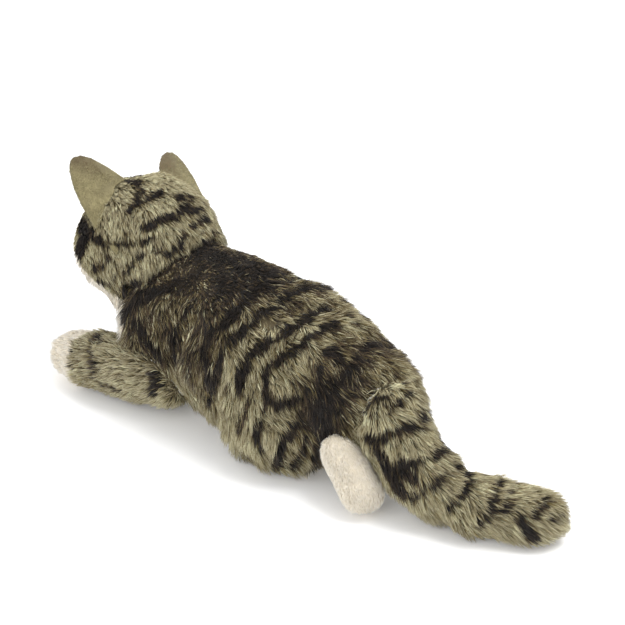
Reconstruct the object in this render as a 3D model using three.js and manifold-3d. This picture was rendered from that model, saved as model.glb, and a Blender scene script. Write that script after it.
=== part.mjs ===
// A stuffed toy cat lying on its belly, head up and tail trailing: sewn covers, fillings and hard trims.
// Millimetres, +Z up, the nose towards -Y and the cat's own left side at +X. The origin is at the middle
// of the footprint, on the surface that the cat lies on.
import * as THREE from "three";
import { mergeVertices } from "three/addons/utils/BufferGeometryUtils.js";
import Module from "manifold-3d";

// ---- Driving dimensions, in degrees for the turns ----
const coverThickness = 3; // backing and flattened pile together
const seamGap = 0.4; // between pieces that are sewn or stuffed against each other
const motionGap = 1.4; // between pieces that move past each other
const footLift = 0.6; // the moving limbs stay this far above the surface the belly rests on

const torso = { length: 166, width: 112, height: 114, frontRadius: 52, frontHeight: 61 };
const head = { width: 102, length: 98, height: 92, forward: 51, up: 39, aside: -4 };
const headTurn = { right: 14, rolled: 10, nodded: 2.5 };
const neck = { radius: 45, fillingRadius: 28, fillingLength: 9 };
const muzzle = { width: 50, height: 38, reach: 60, drop: 20 };
const ear = { inner: [16, -10, 48], outer: [49, 28, 12], cup: 8, cloth: 1.8, sunk: 7 };
const earTip = { left: [49, -38, 50], right: [43, -37, 46] }; // the right ear lies back a little more
const eye = { diameter: 14, apart: 19, rise: 5, standsOut: 3.5, stemDiameter: 3.4, stemLength: 9 };
const washer = { diameter: 12, thickness: 1.4 };
const nose = { width: 13, height: 9, depth: 8 };
const mouth = { width: 16, thread: 1.2 };
const whisker = { diameter: 0.9, length: 44, perSide: 4, sag: 8 };
const foreleg = {
  reach: 88,
  apart: 34,
  spread: 16,
  rootHeight: 32,
  rootRadius: 26,
  elbowRadius: 22,
  pawRadius: 18,
  pawLength: 24,
};
const haunch = { length: 60, height: 74, width: 40, apart: 43, front: -14 };
const hindFoot = { length: 28, radius: 16.5, apart: 34, spread: 11, startY: 70 };
const tuckedRight = { back: 20, spread: -6 }; // the right hind foot lies further under the rump
const tail = { rootRadius: 27, endRadius: 20, tipRadius: 17, rootHeight: 61 };
const pouch = { length: 70, width: 54, height: 24 };
const chestLine = 112; // how far forward the white chest begins
const bellyHeight = 20; // how high up the sides the white belly reaches

// The turns that the shapes leave room for, a little wider than the ones the joints are given.
const range = {
  neckTurn: [-14, 14],
  headNod: [-7, 7],
  foreleg: [0, 8],
  hindFoot: [0, 6],
  tailSwing: [-2, 14],
  tailCurl: [-15, 15],
  earFold: [-5, 5],
};

// ---- Solids and meshes ----
const wasm = await Module();
wasm.setup();

// A closed three.js geometry as a manifold-3d solid.
function solidFrom(geometry) {
  const bare = geometry.clone();
  bare.deleteAttribute("normal");
  bare.deleteAttribute("uv");
  const merged = mergeVertices(bare, 1e-4);
  return new wasm.Manifold(
    new wasm.Mesh({
      numProp: 3,
      vertProperties: new Float32Array(merged.attributes.position.array),
      triVerts: new Uint32Array(merged.index.array),
    }),
  );
}

// A manifold-3d solid as a three.js geometry.
function geometryFrom(solid) {
  const mesh = solid.getMesh();
  const corners = new Float32Array(mesh.numVert * 3);
  for (let i = 0; i < mesh.numVert; i++)
    corners.set(mesh.vertProperties.subarray(i * mesh.numProp, i * mesh.numProp + 3), i * 3);
  const geometry = new THREE.BufferGeometry();
  geometry.setAttribute("position", new THREE.BufferAttribute(corners, 3));
  geometry.setIndex(new THREE.BufferAttribute(new Uint32Array(mesh.triVerts), 1));
  geometry.computeVertexNormals();
  return geometry;
}

// A mirrored geometry with its faces outward again.
function turnedOver(geometry) {
  const index = geometry.index.array;
  for (let i = 0; i < index.length; i += 3) {
    const second = index[i + 1];
    index[i + 1] = index[i + 2];
    index[i + 2] = second;
  }
  return geometry;
}

const radians = THREE.MathUtils.degToRad;
const moved = (solid, matrix) => solid.transform(matrix.elements);
const joined = (solids) => solids.reduce((whole, next) => whole.add(next));

// The largest piece of a solid, without the crumbs a cut may leave.
const largest = (solid) => solid.decompose().sort((a, b) => b.volume() - a.volume())[0];

function turnAbout(pivot, axis, degrees) {
  const direction = new THREE.Vector3(...axis).normalize();
  const turn = new THREE.Matrix4().makeRotationAxis(direction, radians(degrees));
  return new THREE.Matrix4()
    .makeTranslation(...pivot)
    .multiply(turn)
    .multiply(new THREE.Matrix4().makeTranslation(-pivot[0], -pivot[1], -pivot[2]));
}

// A stuffed form: a sphere whose latitude runs along a spine of sections, with a rounded cap at each end.
// A section is { at, wide, high }, both radii. Shrink draws the surface in, and floor flattens it there.
function stuffedForm(sections, { around = 14, along = 9, capShare = 0.24, shrink = 0, floor = null } = {}) {
  const spine = new THREE.CatmullRomCurve3(sections.map((s) => new THREE.Vector3(...s.at)));
  const radii = new THREE.CatmullRomCurve3(sections.map((s) => new THREE.Vector3(s.wide, s.high, 0)));
  const form = new THREE.SphereGeometry(1, around, along);
  const position = form.attributes.position;
  const point = new THREE.Vector3();
  for (let i = 0; i < position.count; i++) {
    point.fromBufferAttribute(position, i);
    const share = Math.acos(THREE.MathUtils.clamp(point.y, -1, 1)) / Math.PI;
    const fromEnd = Math.min(share, 1 - share);
    const capAngle = Math.min(fromEnd / capShare, 1) * (Math.PI / 2);
    const t = THREE.MathUtils.clamp((share - capShare) / (1 - 2 * capShare), 0, 1);
    const centre = spine.getPoint(t);
    const forward = spine.getTangent(t);
    const radius = radii.getPoint(t);
    const side = new THREE.Vector3(0, 0, 1).cross(forward).normalize();
    const up = forward.clone().cross(side);
    const wide = Math.max(radius.x - shrink, 0.2);
    const high = Math.max(radius.y - shrink, 0.2);
    const round = Math.hypot(point.x, point.z);
    const spread = round > 1e-9 ? Math.sin(capAngle) / round : 0;
    const reach = Math.cos(capAngle) * ((wide + high) / 2) * (share < 0.5 ? -1 : 1);
    centre.addScaledVector(side, point.x * spread * wide);
    centre.addScaledVector(up, point.z * spread * high);
    centre.addScaledVector(forward, reach);
    if (floor !== null) centre.z = Math.max(centre.z, floor);
    position.setXYZ(i, centre.x, centre.y, centre.z);
  }
  return solidFrom(form);
}

function ellipsoid(centre, half, around = 16, along = 10) {
  return solidFrom(new THREE.SphereGeometry(1, around, along).scale(...half).translate(...centre));
}

const ball = (centre, radius) => ellipsoid(centre, [radius, radius, radius], 22, 14);

// A straight round bar between two points.
function bar(from, to, radius, sides = 12) {
  const start = new THREE.Vector3(...from);
  const span = new THREE.Vector3(...to).sub(start);
  const geometry = new THREE.CylinderGeometry(radius, radius, span.length(), sides);
  const upright = new THREE.Vector3(0, 1, 0);
  geometry.applyQuaternion(new THREE.Quaternion().setFromUnitVectors(upright, span.clone().normalize()));
  const middle = start.addScaledVector(span, 0.5);
  return solidFrom(geometry.translate(middle.x, middle.y, middle.z));
}

// Everything on the side of a plane that its normal points to.
function halfSpace(normal, offset) {
  const direction = new THREE.Vector3(...normal).normalize();
  const size = 900;
  const slab = new THREE.BoxGeometry(size, size, size).translate(0, 0, size / 2);
  const upward = new THREE.Vector3(0, 0, 1);
  slab.applyQuaternion(new THREE.Quaternion().setFromUnitVectors(upward, direction));
  direction.multiplyScalar(offset);
  return solidFrom(slab.translate(direction.x, direction.y, direction.z));
}

// The room an obstacle takes up, seen from a piece that turns about an axis through a range.
function inTheWay(obstacle, pivot, axis, [from, to], steps = 2) {
  const copies = [];
  for (let i = 0; i <= steps; i++)
    copies.push(moved(obstacle, turnAbout(pivot, axis, -(from + ((to - from) * i) / steps))));
  return joined(copies);
}

const group = new THREE.Group();
const look = {
  tabby: { color: 0x6b604c, roughness: 0.95 },
  cream: { color: 0xe6dfd0, roughness: 0.95 },
  ear: { color: 0x9c8f72, roughness: 0.95 },
  filling: { color: 0xf4f3ee, roughness: 1 },
  pouch: { color: 0xd9d5c8, roughness: 0.9 },
  eye: { color: 0x2a1c0c, roughness: 0.1 },
  plastic: { color: 0xe8e8e4, roughness: 0.5 },
  nose: { color: 0xa8736a, roughness: 0.8 },
  thread: { color: 0x3a2c26, roughness: 0.8 },
  whisker: { color: 0xf2f0ea, roughness: 0.4 },
};

function node(name, solid, finish) {
  const material = new THREE.MeshStandardMaterial({ metalness: 0, ...finish });
  const mesh = new THREE.Mesh(geometryFrom(solid), material);
  mesh.name = name;
  group.add(mesh);
}

// ---- Where the torso lies ----
const frontY = -106;
const rearY = frontY + torso.length;
const neckPivot = [0, frontY, torso.frontHeight];
const halfWide = torso.width / 2;
const halfHigh = torso.height / 2;

const torsoSections = [
  { at: neckPivot, wide: torso.frontRadius, high: torso.frontRadius },
  { at: [0, frontY + torso.length * 0.2, halfHigh + 2], wide: halfWide * 0.92, high: halfHigh * 0.98 },
  { at: [0, frontY + torso.length * 0.5, halfHigh - 4], wide: halfWide, high: halfHigh },
  { at: [0, frontY + torso.length * 0.8, halfHigh - 7], wide: halfWide * 0.94, high: halfHigh * 0.92 },
  { at: [0, rearY, halfHigh - 8], wide: halfWide * 0.68, high: halfHigh * 0.68 },
];
const torsoForm = (shrink) =>
  stuffedForm(torsoSections, { around: 20, along: 14, capShare: 0.2, shrink, floor: shrink });
const torsoObstacle = torsoForm(-motionGap);
const torsoTouch = torsoForm(-seamGap);

// ---- Torso: two back panels, a white belly and chest, the filling and a pouch of pellets ----
function whiteOfTorso(grown) {
  const belly = halfSpace([0, 0, -1], -(bellyHeight + grown));
  const chest = halfSpace([0, -1, -0.35], (chestLine - grown) / Math.hypot(1, 0.35));
  return belly.add(chest);
}

const torsoShell = torsoForm(0).subtract(torsoForm(coverThickness));
const backShell = torsoShell.subtract(whiteOfTorso(seamGap));
node("back_panel_left", backShell.intersect(halfSpace([1, 0, 0], seamGap / 2)), look.tabby);
node("back_panel_right", backShell.intersect(halfSpace([-1, 0, 0], seamGap / 2)), look.tabby);
node("belly_and_chest_panel", torsoShell.intersect(whiteOfTorso(0)), look.cream);

const pouchEnd = (pouch.length - pouch.width) / 2;
const pouchSections = [-pouchEnd, pouchEnd].map((y) => ({
  at: [0, y, pouch.height / 2],
  wide: pouch.width / 2,
  high: pouch.height / 2,
}));
const pouchForm = (grown) =>
  stuffedForm(pouchSections, { around: 16, along: 8, capShare: 0.36, shrink: -grown });
const torsoInside = torsoForm(coverThickness + seamGap);
node("torso_filling", torsoInside.subtract(pouchForm(seamGap)), look.filling);
node("pellet_pouch", torsoInside.intersect(pouchForm(0)), look.pouch);

// ---- Head: tabby crown, white face and throat, filling and the neck filling it turns on ----
const headCentre = [head.aside, frontY - head.forward, torso.frontHeight + head.up];
const headFrame = new THREE.Matrix4()
  .makeTranslation(...headCentre)
  .multiply(new THREE.Matrix4().makeRotationZ(radians(-headTurn.right)))
  .multiply(new THREE.Matrix4().makeRotationY(radians(-headTurn.rolled)))
  .multiply(new THREE.Matrix4().makeRotationX(radians(headTurn.nodded)));
const inHead = (x, y, z) => new THREE.Vector3(x, y, z).applyMatrix4(headFrame).toArray();
const placedInHead = (solid) => moved(solid, headFrame);

function skullForm(shrink, around = 18, along = 11) {
  const half = [head.width, head.length, head.height].map((size) => size / 2 - shrink);
  return placedInHead(ellipsoid([0, 0, 0], half, around, along));
}

function snoutForm(shrink) {
  const wide = muzzle.width / 2;
  const high = muzzle.height / 2;
  return placedInHead(
    stuffedForm(
      [
        { at: [0, -12, -muzzle.drop + 3], wide: wide + 9, high: high + 7 },
        { at: [0, -muzzle.reach + high, -muzzle.drop], wide, high },
      ],
      { around: 12, along: 7, capShare: 0.34, shrink },
    ),
  );
}

function napeForm(shrink) {
  return stuffedForm(
    [
      { at: inHead(0, 6, -4), wide: neck.radius, high: neck.radius },
      { at: [0, frontY + 2, torso.frontHeight + 2], wide: neck.radius, high: neck.radius },
    ],
    { around: 14, along: 6, capShare: 0.34, shrink },
  );
}

const headForm = (shrink) => joined([skullForm(shrink), snoutForm(shrink), napeForm(shrink)]);
const headOuter = headForm(0);
const headObstacle = headForm(-motionGap);

// Turning the head about the neck never brings it closer to the round front of the torso; behind the neck
// the shoulders are cleared through the whole range.
function clearOfTorso(solid, grown) {
  const round = ball(neckPivot, torso.frontRadius + motionGap + grown);
  const shoulders = torsoForm(-motionGap - grown);
  const turned = inTheWay(shoulders, neckPivot, [0, 0, 1], range.neckTurn);
  const nodded = inTheWay(turned, neckPivot, [1, 0, 0], range.headNod);
  return largest(solid.subtract(round).subtract(nodded));
}

// The white of the face: muzzle and chin, and the throat below them.
function whiteOfHead(grown) {
  const face = placedInHead(halfSpace([0, -0.8, -0.6], 30 - grown));
  const throat = placedInHead(halfSpace([0, -0.35, -0.94], 31 - grown));
  return face.add(throat);
}

const eyeAt = (side) => [side * eye.apart, -head.length / 2 + 6, eye.rise];
const eyeHole = (side, grown) => {
  const [x, y, z] = eyeAt(side);
  return placedInHead(bar([x, y - 8, z], [x, y + 14, z], eye.stemDiameter / 2 + grown, 12));
};
const eyeHoles = (grown) => eyeHole(1, grown).add(eyeHole(-1, grown));

const headWall = clearOfTorso(headOuter.subtract(headForm(coverThickness)), 0);
const headShell = headWall.subtract(eyeHoles(seamGap / 2));
const crownShell = headShell.subtract(whiteOfHead(seamGap));
node("crown_cover", crownShell, look.tabby);
node("face_and_throat_cover", headShell.intersect(whiteOfHead(0)), look.cream);

const washerForm = (side, grown) => {
  const [x, y, z] = eyeAt(side);
  const from = [x, y + eye.stemLength - 1.6 - grown, z];
  const to = [x, y + eye.stemLength - 1.6 + washer.thickness + grown, z];
  return placedInHead(bar(from, to, washer.diameter / 2 + grown, 14));
};
const neckFillingTop = torso.frontRadius + motionGap + neck.fillingLength;
const headFilling = clearOfTorso(headForm(coverThickness + seamGap), 0)
  .subtract(ball(neckPivot, neckFillingTop + motionGap))
  .subtract(eyeHoles(0.8))
  .subtract(washerForm(1, seamGap).add(washerForm(-1, seamGap)));
node("head_filling", headFilling, look.filling);

const neckFoot = new THREE.Vector3(...neckPivot);
const neckAxis = new THREE.Vector3(...headCentre).sub(neckFoot).normalize();
const alongNeck = (distance) => neckFoot.clone().addScaledVector(neckAxis, distance).toArray();
const neckPlug = bar(alongNeck(20), alongNeck(90), neck.fillingRadius, 14)
  .intersect(ball(neckPivot, neckFillingTop))
  .subtract(ball(neckPivot, torso.frontRadius + motionGap));
node("neck_filling", neckPlug, look.filling);

// ---- Eyes, nose, mouth and whiskers ----
const headTouch = headForm(-0.3);
const sides = [
  ["left", 1],
  ["right", -1],
];
for (const [name, side] of sides) {
  const [x, y, z] = eyeAt(side);
  const domeHalf = [eye.diameter / 2, eye.standsOut + 3, eye.diameter / 2];
  const dome = placedInHead(ellipsoid([x, y, z], domeHalf, 14, 8));
  const stem = placedInHead(bar([x, y - 5, z], [x, y + eye.stemLength, z], eye.stemDiameter / 2, 12));
  const hole = placedInHead(bar([x, y, z], [x, y + 20, z], eye.stemDiameter / 2 + 0.3, 12));
  node("eye_" + name, dome.subtract(headTouch).add(stem), look.eye);
  node("eye_washer_" + name, washerForm(side, 0).subtract(hole), look.plastic);
}

const noseAt = [0, -muzzle.reach + 1.5, -muzzle.drop + muzzle.height / 2 - 5];
const noseForm = placedInHead(ellipsoid(noseAt, [nose.width / 2, nose.depth / 2, nose.height / 2], 14, 8));
node("nose", noseForm.subtract(headTouch), look.nose);

// A thin closed strand through points that are given in the head's own frame.
function strand(points, radius, along = 7) {
  const sections = points.map((point) => ({ at: inHead(...point), wide: radius, high: radius }));
  return stuffedForm(sections, { around: 5, along, capShare: 0.12 });
}

// A point on the front of the muzzle, at x and a height below the nose.
const lipTop = noseAt[2] - nose.height / 2;
function lipPoint(x, drop) {
  const [wide, high] = [muzzle.width / 2, muzzle.height / 2];
  const share = Math.hypot(x / wide, (lipTop - drop + muzzle.drop) / high);
  return [x, -muzzle.reach + high - ((wide + high) / 2) * Math.sqrt(1 - share * share) - 0.3, lipTop - drop];
}
const mouthLine = [-1, 1].map((side) => {
  const outward = (side * mouth.width) / 2;
  return strand([lipPoint(0, 4), lipPoint(outward / 2, 6.5), lipPoint(outward, 5.5)], mouth.thread);
});
const philtrum = strand([lipPoint(0, -1), lipPoint(0, 2), lipPoint(0, 4.4)], mouth.thread);
const stitching = joined([philtrum, ...mouthLine]);
node("mouth_stitch", stitching.subtract(headTouch).subtract(noseForm), look.thread);

for (const [name, side] of sides) {
  for (let i = 0; i < whisker.perSide; i++) {
    const rise = (i - (whisker.perSide - 1) / 2) * 3.4;
    const root = [side * (muzzle.width / 2 - 5), -muzzle.reach + 13 + (i % 2) * 3, -muzzle.drop - rise];
    const reach = whisker.length * (1 - 0.06 * i);
    const middle = [root[0] + side * reach * 0.5, root[1] - 4, root[2] - rise * 0.6 + 1];
    const tip = [root[0] + side * reach, root[1] + 2, root[2] - rise * 1.4 - whisker.sag];
    const hair = strand([root, middle, tip], whisker.diameter / 2).subtract(headTouch);
    node("whisker_" + name + "_" + (i + 1), largest(hair), look.whisker);
  }
}

// ---- Ears: a bent sheet of cloth with a lining on its front ----
const earPoint = (at, side) => new THREE.Vector3(at[0] * side, at[1], at[2]);
export const earHinge = (side) => [earPoint(ear.inner, side), earPoint(ear.outer, side)];

function earForm(side, lining) {
  const tipAt = side > 0 ? earTip.left : earTip.right;
  const [inner, outer, tip] = [ear.inner, ear.outer, tipAt].map((at) => earPoint(at, 1));
  const base = inner.clone().add(outer).multiplyScalar(0.5);
  const across = outer.clone().sub(inner);
  const rise = tip.clone().sub(base);
  const facing = across.clone().cross(rise).normalize();
  const sunk = ear.sunk / rise.length();
  const sheet = new THREE.BoxGeometry(1, 1, 1, 6, 1, 6);
  const position = sheet.attributes.position;
  for (let i = 0; i < position.count; i++) {
    const u = position.getX(i) * 2;
    const v = Math.sin((position.getZ(i) + 0.5) * Math.PI * 0.5);
    const taper = Math.pow(Math.max(1 - Math.pow(v, 1.6), 0.006), 0.5) * (lining ? 0.88 : 1);
    const layer = position.getY(i) * ear.cloth + (lining ? ear.cloth + seamGap : 0);
    const point = base.clone();
    point.addScaledVector(across, u * 0.5 * taper);
    point.addScaledVector(rise, v * (1 + sunk) * (lining ? 0.93 : 1) - sunk);
    point.addScaledVector(facing, ear.cup * Math.pow(u * taper, 2) + layer);
    position.setXYZ(i, point.x * side, point.y, point.z);
  }
  return placedInHead(solidFrom(side > 0 ? turnedOver(sheet) : sheet));
}

for (const [name, side] of sides) {
  const [inner, outer] = earHinge(side).map((point) => point.applyMatrix4(headFrame));
  const axis = outer.clone().sub(inner).toArray();
  const obstacle = inTheWay(headObstacle, inner.toArray(), axis, range.earFold, 2);
  const clear = (solid) => largest(solid.subtract(obstacle));
  node("ear_outer_" + name, clear(earForm(side, false)), look.ear);
  node("ear_lining_" + name, clear(earForm(side, true)), look.cream);
}

// ---- Limbs: each is cleared of the torso through its whole range ----
const onSide = (side, sections) => sections.map((s) => ({ ...s, at: [s.at[0] * side, s.at[1], s.at[2]] }));

// The cover of a form and the filling inside it, both cut back where the obstacle is.
const shellOf = (form, obstacle) => largest(form(0).subtract(form(coverThickness)).subtract(obstacle));
const fillingOf = (form, obstacle) => largest(form(coverThickness + seamGap).subtract(obstacle));

// A foreleg's sleeve, its far end in white, and its filling.
function limb(name, sections, whiteEnd, obstacle) {
  const form = (shrink) =>
    stuffedForm(sections, { around: 14, along: 9, shrink, floor: footLift + shrink });
  const shell = shellOf(form, obstacle);
  node(name + "_sleeve", largest(shell.subtract(whiteEnd(seamGap))), look.tabby);
  node(name + "_paw", largest(shell.intersect(whiteEnd(0))), look.cream);
  node(name + "_filling", fillingOf(form, obstacle), look.filling);
}

const forelegSections = [
  {
    at: [foreleg.apart, frontY + 10, foreleg.rootHeight],
    wide: foreleg.rootRadius,
    high: foreleg.rootRadius,
  },
  {
    at: [foreleg.apart + foreleg.spread * 0.7, frontY - foreleg.reach * 0.36, 25],
    wide: foreleg.elbowRadius,
    high: foreleg.elbowRadius,
  },
  {
    at: [foreleg.apart + foreleg.spread, frontY - foreleg.reach * 0.84, 18],
    wide: foreleg.pawRadius,
    high: foreleg.pawRadius - 0.5,
  },
];
const forelegPivot = (side) => [foreleg.apart * side, frontY + 10, foreleg.rootHeight];
const pawLine = frontY - foreleg.reach * 0.84 - foreleg.pawRadius + foreleg.pawLength;
for (const [name, side] of sides) {
  const sections = onSide(side, forelegSections);
  const whiteEnd = (grown) =>
    halfSpace([-0.1 * side, -1, -0.25], (-pawLine - 4 - grown) / Math.hypot(0.1, 1, 0.25));
  const obstacle = inTheWay(torsoObstacle, forelegPivot(side), [-1, 0, 0], range.foreleg);
  limb("foreleg_" + name, sections, whiteEnd, obstacle);
}

// ---- Where the tail lies ----
const tailRoot = [0, rearY - 2, tail.rootHeight];
const tailPath = [
  { at: tailRoot, wide: tail.rootRadius, high: tail.rootRadius },
  { at: [10, rearY + 30, 54], wide: tail.rootRadius - 2, high: tail.rootRadius - 2 },
  { at: [18, rearY + 57, 37], wide: tail.rootRadius - 6, high: tail.rootRadius - 6 },
  { at: [16, rearY + 87, 24], wide: tail.endRadius, high: tail.endRadius },
  { at: [8, rearY + 112, 19.5], wide: tail.endRadius - 1.5, high: tail.endRadius - 1.5 },
  { at: [-2, rearY + 132, 18.5], wide: tail.endRadius - 2, high: tail.endRadius - 2 },
  { at: [-11, rearY + 148, 17.5], wide: tail.tipRadius, high: tail.tipRadius },
];
const curlPivot = tailPath[3].at;
const curlFoot = new THREE.Vector3(...curlPivot);
const curlStart = new THREE.Vector3(...tailPath[4].at).sub(new THREE.Vector3(...tailPath[2].at)).normalize();
const tailRootForm = (shrink) =>
  stuffedForm(tailPath.slice(0, 4), { along: 11, capShare: 0.2, shrink, floor: footLift + shrink });
const tailEndForm = (shrink) =>
  stuffedForm(tailPath.slice(3), { along: 10, capShare: 0.2, shrink, floor: footLift + shrink });

// ---- Haunches, sewn to the sides of the torso, and the white hind feet behind them ----
const haunchSections = [
  { share: 0, inward: 4, slimmer: 1, lower: 5 },
  { share: 0.5, inward: 0, slimmer: 0, lower: 0 },
  { share: 1, inward: 5, slimmer: 2, lower: 6 },
].map(({ share, inward, slimmer, lower }) => ({
  at: [haunch.apart - inward, haunch.front + share * (haunch.length - 14), haunch.height / 2 - 1],
  wide: haunch.width / 2 - slimmer,
  high: haunch.height / 2 - lower,
}));
// Each section is a share outward, a share backward and a height.
const footSections = [
  { at: [0, 0, 36], wide: hindFoot.radius, high: hindFoot.radius },
  { at: [0.6, 0.5, 27], wide: hindFoot.radius + 1, high: hindFoot.radius },
  { at: [1, 1, 16.5], wide: hindFoot.radius + 1, high: hindFoot.radius - 1 },
];
const footStart = (side) => hindFoot.startY - (side > 0 ? 0 : tuckedRight.back);
const footPivot = (side) => [hindFoot.apart * side, footStart(side) - 6, 36];
for (const [name, side] of sides) {
  const sections = onSide(side, haunchSections);
  const form = (shrink) => stuffedForm(sections, { shrink, floor: shrink });
  node("haunch_" + name + "_cover", shellOf(form, torsoTouch), look.tabby);
  node("haunch_" + name + "_filling", fillingOf(form, torsoTouch), look.filling);

  const spread = side > 0 ? hindFoot.spread : tuckedRight.spread;
  const placed = footSections.map(({ at: [outward, backward, z], ...size }) => ({
    at: [hindFoot.apart + spread * outward, footStart(side) + hindFoot.length * backward, z],
    ...size,
  }));
  const feet = onSide(side, placed);
  const foot = (shrink) => stuffedForm(feet, { shrink, floor: footLift + shrink });
  const body = torsoObstacle.add(stuffedForm(sections, { shrink: -motionGap }));
  const tailRoom = inTheWay(tailRootForm(-motionGap), tailRoot, [0, 0, -1], range.tailSwing);
  const obstacle = inTheWay(body.add(tailRoom), footPivot(side), [1, 0, 0], range.hindFoot);
  node("hind_foot_" + name + "_cover", shellOf(foot, obstacle), look.cream);
  node("hind_foot_" + name + "_filling", fillingOf(foot, obstacle), look.filling);
}

// ---- Tail: a root that swings at the rump and an end that curls on from it ----
const swingObstacle = inTheWay(torsoObstacle, tailRoot, [0, 0, 1], range.tailSwing);
node("tail_root_cover", shellOf(tailRootForm, swingObstacle), look.tabby);
node("tail_root_filling", fillingOf(tailRootForm, swingObstacle), look.filling);

// The tail's end begins in front of a ball about the point it curls on, so it can't meet the root.
const behindCurl = halfSpace(curlStart.clone().negate().toArray(), -curlStart.dot(curlFoot));
const curlObstacle = ball(curlPivot, tail.endRadius + motionGap).add(behindCurl);
node("tail_end_cover", shellOf(tailEndForm, curlObstacle), look.tabby);
node("tail_end_filling", fillingOf(tailEndForm, curlObstacle), look.filling);

// The origin goes to the middle of the footprint.
const bounds = new THREE.Box3().setFromObject(group);
const middle = bounds.getCenter(new THREE.Vector3());
for (const mesh of group.children) {
  mesh.geometry.translate(-middle.x, -middle.y, -bounds.min.z);
}

// The points and axes that the joints turn on, in the frame of the finished part.
const shifted = ([x, y, z]) => [x - middle.x, y - middle.y, z - bounds.min.z];
export const joints = {
  neck: shifted(neckPivot),
  tailRoot: shifted(tailRoot),
  tailCurl: shifted(curlPivot),
  foreleg: [1, -1].map((side) => shifted(forelegPivot(side))),
  hindFoot: [1, -1].map((side) => shifted(footPivot(side))),
  ear: [1, -1].map((side) =>
    earHinge(side).map((point) => shifted(point.applyMatrix4(headFrame).toArray())),
  ),
};

export default group;
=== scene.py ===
import math
import bmesh
import bpy
import numpy as np
from mathutils import Matrix, Vector
from mathutils.bvhtree import BVHTree


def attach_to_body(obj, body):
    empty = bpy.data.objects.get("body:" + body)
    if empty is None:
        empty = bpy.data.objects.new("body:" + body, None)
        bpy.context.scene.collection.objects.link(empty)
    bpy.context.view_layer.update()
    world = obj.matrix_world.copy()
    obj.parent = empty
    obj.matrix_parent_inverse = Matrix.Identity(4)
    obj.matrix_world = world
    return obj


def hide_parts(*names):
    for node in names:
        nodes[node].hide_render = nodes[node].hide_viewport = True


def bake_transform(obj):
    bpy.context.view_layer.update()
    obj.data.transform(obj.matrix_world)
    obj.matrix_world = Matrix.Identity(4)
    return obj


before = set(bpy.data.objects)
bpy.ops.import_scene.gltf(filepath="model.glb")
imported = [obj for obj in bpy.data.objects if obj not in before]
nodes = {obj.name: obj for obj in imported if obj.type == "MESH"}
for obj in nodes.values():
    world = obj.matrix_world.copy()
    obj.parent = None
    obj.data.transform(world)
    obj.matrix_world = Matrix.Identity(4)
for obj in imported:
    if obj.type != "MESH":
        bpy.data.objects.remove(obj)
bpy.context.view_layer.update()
millimetre = 0.001
print("frame loaded")


class Wire:  # a shader socket that can be used in sums
    def __init__(self, tree, socket):
        self.tree = tree
        self.socket = socket

    def maths(self, operation, *others, clamp=False):
        node = self.tree.nodes.new("ShaderNodeMath")
        node.operation = operation
        node.use_clamp = clamp
        for slot, value in zip(node.inputs, (self, *others)):
            if isinstance(value, Wire):
                self.tree.links.new(value.socket, slot)
            else:
                slot.default_value = value
        return Wire(self.tree, node.outputs[0])

    def __add__(self, other):
        return self.maths("ADD", other)

    def __sub__(self, other):
        return self.maths("SUBTRACT", other)

    def __mul__(self, other):
        return self.maths("MULTIPLY", other)

    def __rsub__(self, other):
        return (self * -1.0).maths("ADD", other)

    __radd__ = __add__
    __rmul__ = __mul__


class Finish:  # one material and the nodes that make it
    def __init__(self, name):
        self.material = bpy.data.materials.new(name)
        self.material.use_nodes = True
        self.tree = self.material.node_tree
        self.shader = self.tree.nodes["Principled BSDF"]

    def node(self, kind, settings=None, inputs=None, output=0):
        node = self.tree.nodes.new(kind)
        for key, value in (settings or {}).items():
            if key == "stops":
                ramp = node.color_ramp
                while len(ramp.elements) < len(value):
                    ramp.elements.new(0.5)
                for element, (place, colour) in zip(ramp.elements, value):
                    element.position = place
                    element.color = (*colour, 1)
            else:
                setattr(node, key, value)
        for key, value in (inputs or {}).items():
            if isinstance(value, Wire):
                self.tree.links.new(value.socket, node.inputs[key])
            else:
                node.inputs[key].default_value = value
        return Wire(self.tree, node.outputs[output])

    def attribute(self, name):
        return self.node("ShaderNodeAttribute", {"attribute_name": name}, output=2)

    def place(self):
        return self.node("ShaderNodeTexCoord", output=3)

    def noise(self, scale, detail=2.0):
        return self.node("ShaderNodeTexNoise", {}, {"Vector": self.place(), "Scale": scale, "Detail": detail})

    def mix(self, factor, first, second):
        return self.node("ShaderNodeMix", {"data_type": "RGBA"}, {0: factor, 6: first, 7: second}, output=2)

    def ramp(self, factor, stops):
        return self.node("ShaderNodeValToRGB", {"stops": stops}, {0: factor})

    def link(self, wire, name):
        self.tree.links.new(wire.socket, self.shader.inputs[name])

    def bump(self, height, strength, distance):
        wire = self.node("ShaderNodeBump", {}, {"Height": height, "Strength": strength, "Distance": distance})
        self.link(wire, "Normal")

    def fixed(self, **values):
        for key, value in values.items():
            self.shader.inputs[key.replace("_", " ")].default_value = value


def linear(hexColour):  # a colour as a paint name gives it, in the renderer's own scale
    parts = [int(hexColour[i : i + 2], 16) / 255 for i in (1, 3, 5)]
    return tuple(p / 12.92 if p <= 0.04045 else ((p + 0.055) / 1.055) ** 2.4 for p in parts)


# Smooth, seeded unevenness over the coat, about -1 to 1.
def wobble(points, size, seed):
    rng = np.random.default_rng(seed)
    total = np.zeros(len(points))
    for _ in range(8):
        direction = rng.normal(size=3)
        direction /= np.linalg.norm(direction)
        pace = 2 * math.pi / size * rng.uniform(0.55, 1.5)
        total += np.sin(points @ direction * pace + rng.uniform(0, 2 * math.pi))
    return total / 4


def unit(vectors):
    return vectors / np.maximum(np.linalg.norm(vectors, axis=-1, keepdims=True), 1e-9)


def addObject(name, data):
    piece = bpy.data.objects.new(name, data)
    bpy.context.scene.collection.objects.link(piece)
    return piece


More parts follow.
